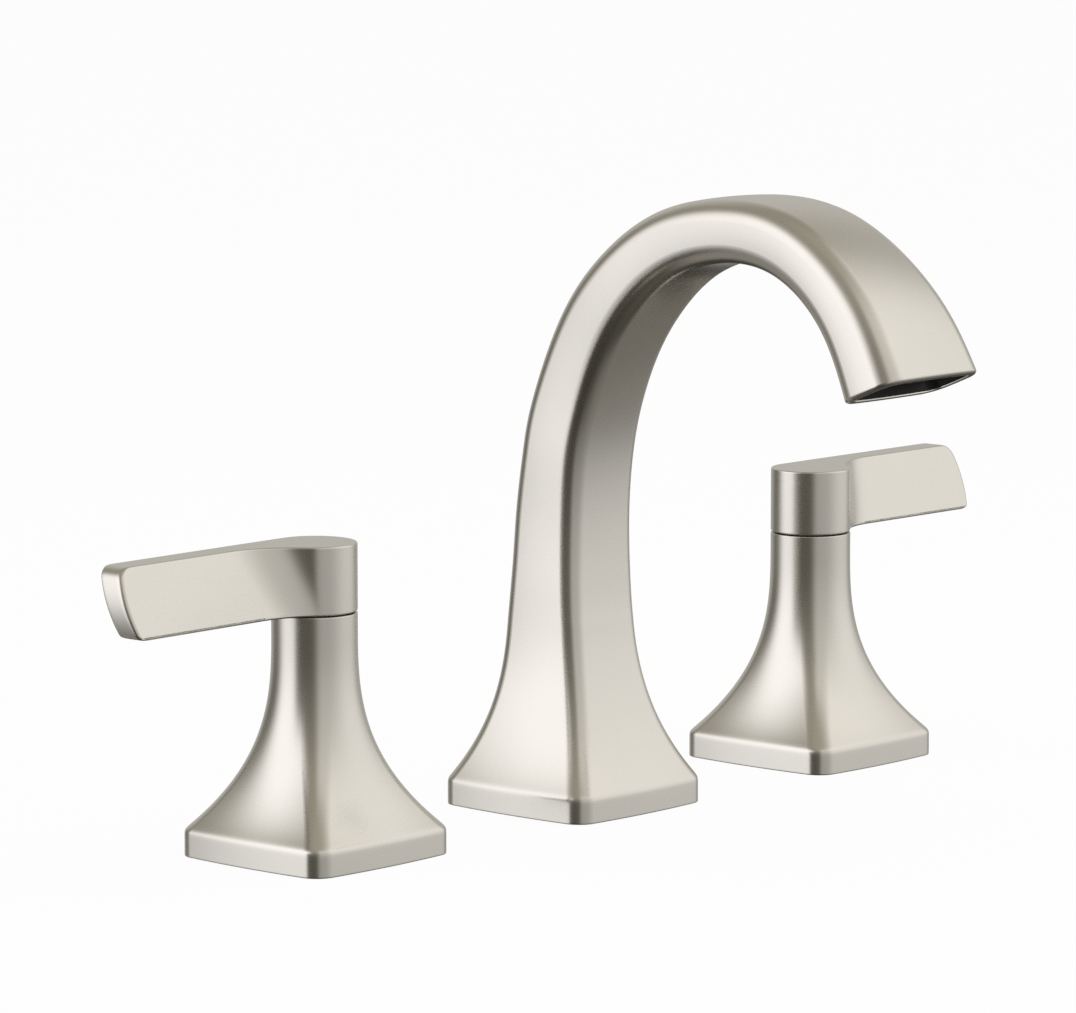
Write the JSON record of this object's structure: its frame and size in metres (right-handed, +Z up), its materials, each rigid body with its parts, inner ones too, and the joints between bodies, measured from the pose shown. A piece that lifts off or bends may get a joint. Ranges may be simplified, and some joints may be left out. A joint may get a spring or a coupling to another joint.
{
  "type": "widespread bathroom faucet",
  "caption": "Widespread bathroom faucet: a tall arched spout and separate quarter-turn lever handles on flared square bases.",
  "frame": {"origin": "centre of the spout's base plate, on the deck it stands on", "axes": "+X from the left handle to the right handle, -Y the way the spout reaches over the basin, +Z up"},
  "size_m": [0.3416, 0.154, 0.2667],
  "materials": {
    "nickel": "warm brushed nickel plating, satin",
    "brass": "machined brass",
    "steel": "stainless steel",
    "rubber": "matte black",
    "plastic": "moulded grey plastic",
    "white_plastic": "moulded white plastic",
    "ceramic": "polished white ceramic"
  },
  "bodies": {
    "fixed": {"left_bell": "nickel", "left_gasket": "rubber", "left_rubber_washer": "rubber", "left_seat_seal": "rubber", "left_cartridge_ring": "rubber", "left_valve_body": "brass", "left_side_port": "brass", "left_deck_nut": "brass", "left_cartridge": "brass", "left_bonnet": "brass", "left_metal_washer": "steel", "left_lock_nut": "plastic", "left_glide_ring": "plastic", "left_lower_disc": "ceramic", "right_bell": "nickel", "right_gasket": "rubber", "right_rubber_washer": "rubber", "right_seat_seal": "rubber", "right_cartridge_ring": "rubber", "right_valve_body": "brass", "right_side_port": "brass", "right_deck_nut": "brass", "right_cartridge": "brass", "right_bonnet": "brass", "right_metal_washer": "steel", "right_lock_nut": "plastic", "right_glide_ring": "plastic", "right_lower_disc": "ceramic", "spout_body": "nickel", "spout_gasket": "rubber", "spout_block": "brass", "spout_shank": "brass", "spout_tube": "brass", "spout_rubber_washer": "rubber", "spout_metal_washer": "steel", "spout_lock_nut": "plastic", "spout_nipple": "brass", "outlet_housing": "plastic", "outlet_seal": "rubber", "outlet_grille": "steel"},
    "left_handle": {"left_lever": "nickel", "left_stem": "brass", "left_stem_clip": "steel", "left_set_screw": "steel", "left_adapter": "white_plastic", "left_upper_disc": "ceramic"},
    "right_handle": {"right_lever": "nickel", "right_stem": "brass", "right_stem_clip": "steel", "right_set_screw": "steel", "right_adapter": "white_plastic", "right_upper_disc": "ceramic"}
  },
  "joints": [
    {"name": "left_turn", "type": "hinge", "parent": "fixed", "child": "left_handle", "pos_m": [-0.1016, 0, 0.074], "axis": [0, 0, 1], "range_deg": [0, 90]},
    {"name": "right_turn", "type": "hinge", "parent": "fixed", "child": "right_handle", "pos_m": [0.1016, 0, 0.074], "axis": [0, 0, -1], "range_deg": [0, 90]}
  ]
}
